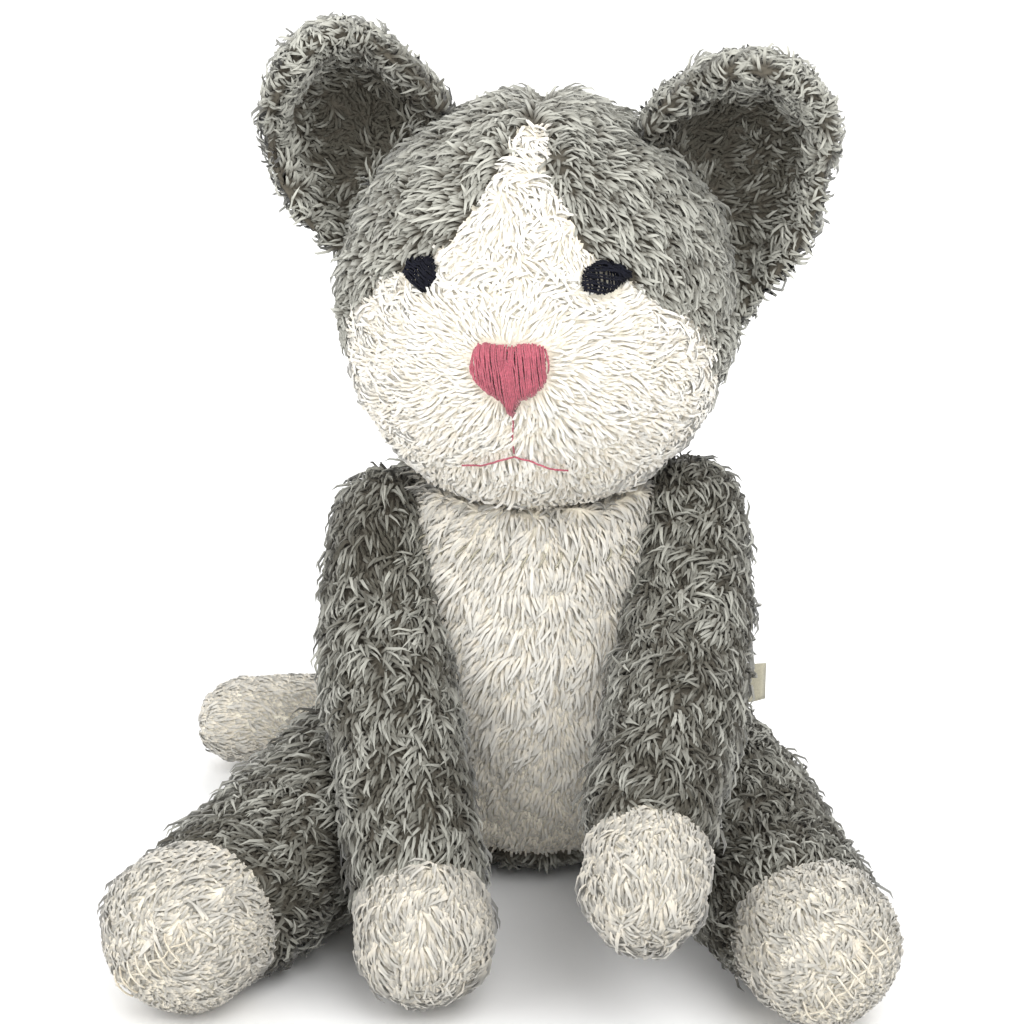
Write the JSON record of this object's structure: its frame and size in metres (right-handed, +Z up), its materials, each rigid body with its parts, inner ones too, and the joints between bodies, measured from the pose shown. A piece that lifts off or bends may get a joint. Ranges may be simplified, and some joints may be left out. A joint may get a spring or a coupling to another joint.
{
  "type": "seated plush cat",
  "caption": "Seated soft plush cat in grey and cream curly pile, with cupped ears, embroidered face, hanging arms, splayed legs and a side-laid tail.",
  "frame": {"origin": "middle of the flat seat, on the surface that the cat sits on", "axes": "+Z up, the cat looks along -Y, +X towards the cat's own left side"},
  "size_m": [0.1814, 0.1839, 0.2105],
  "materials": {
    "grey_pile": "curly cotton pile",
    "cream_pile": "curly cotton pile",
    "stuffing": "loose wadding",
    "eye_thread": "satin stitch",
    "rose_thread": "satin stitch",
    "seam_thread": "twisted cotton thread",
    "label_cloth": "woven ribbon"
  },
  "bodies": {
    "torso": {"torso_back_left": "grey_pile", "torso_back_right": "grey_pile", "torso_bib": "cream_pile", "torso_seat_panel": "grey_pile", "torso_stuffing": "stuffing", "neck_seam_thread": "seam_thread", "care_label": "label_cloth"},
    "neck": {"neck_stuffing": "stuffing"},
    "head": {"face_panel": "cream_pile", "crown_left": "grey_pile", "crown_right": "grey_pile", "head_stuffing": "stuffing", "left_eye": "eye_thread", "right_eye": "eye_thread", "nose_embroidery": "rose_thread", "mouth_thread": "rose_thread"},
    "left_ear": {"left_ear_back": "grey_pile", "left_ear_lining": "grey_pile"},
    "right_ear": {"right_ear_back": "grey_pile", "right_ear_lining": "grey_pile"},
    "left_arm": {"left_arm_sleeve": "grey_pile", "left_paw": "cream_pile", "left_arm_stuffing": "stuffing"},
    "right_arm": {"right_arm_sleeve": "grey_pile", "right_paw": "cream_pile", "right_arm_stuffing": "stuffing"},
    "left_leg": {"left_leg_sleeve": "grey_pile", "left_foot": "cream_pile", "left_leg_stuffing": "stuffing", "left_sole_thread": "seam_thread"},
    "right_leg": {"right_leg_sleeve": "grey_pile", "right_foot": "cream_pile", "right_leg_stuffing": "stuffing", "right_sole_thread": "seam_thread"},
    "tail": {"tail_sleeve": "grey_pile", "tail_tip": "cream_pile", "tail_stuffing": "stuffing"}
  },
  "joints": [
    {"name": "neck_turn", "type": "hinge", "parent": "torso", "child": "neck", "pos_m": [0, -0.004, 0.098], "axis": [0, 0, 1], "range_deg": [-35, 35], "stiffness_Nm_per_rad": 0.08},
    {"name": "head_nod", "type": "hinge", "parent": "neck", "child": "head", "pos_m": [0, -0.004, 0.098], "axis": [1, 0, 0], "range_deg": [-10, 10], "stiffness_Nm_per_rad": 0.3},
    {"name": "left_ear_fold", "type": "hinge", "parent": "head", "child": "left_ear", "pos_m": [0.04129, -0.002, 0.17209], "axis": [0.6015, 0, -0.7989], "range_deg": [-12, 12], "stiffness_Nm_per_rad": 0.01},
    {"name": "right_ear_fold", "type": "hinge", "parent": "head", "child": "right_ear", "pos_m": [-0.03666, 0.008, 0.17814], "axis": [0.7117, 0, 0.7025], "range_deg": [-12, 12], "stiffness_Nm_per_rad": 0.01},
    {"name": "left_arm_raise", "type": "hinge", "parent": "torso", "child": "left_arm", "pos_m": [0.036, -0.006, 0.082], "axis": [-0.5505, -0.2795, 0.7867], "range_deg": [0, 75]},
    {"name": "right_arm_raise", "type": "hinge", "parent": "torso", "child": "right_arm", "pos_m": [-0.036, -0.006, 0.082], "axis": [-0.7089, 0.3442, -0.6156], "range_deg": [0, 75]},
    {"name": "left_leg_swing", "type": "hinge", "parent": "torso", "child": "left_leg", "pos_m": [0.036, -0.018, 0.021], "axis": [1, 0, 0], "range_deg": [0, 80]},
    {"name": "right_leg_swing", "type": "hinge", "parent": "torso", "child": "right_leg", "pos_m": [-0.036, -0.018, 0.021], "axis": [1, 0, 0], "range_deg": [0, 80]},
    {"name": "tail_swing", "type": "hinge", "parent": "torso", "child": "tail", "pos_m": [-0.006, 0.044, 0.0132], "axis": [0, 0, -1], "range_deg": [0, 110]}
  ]
}
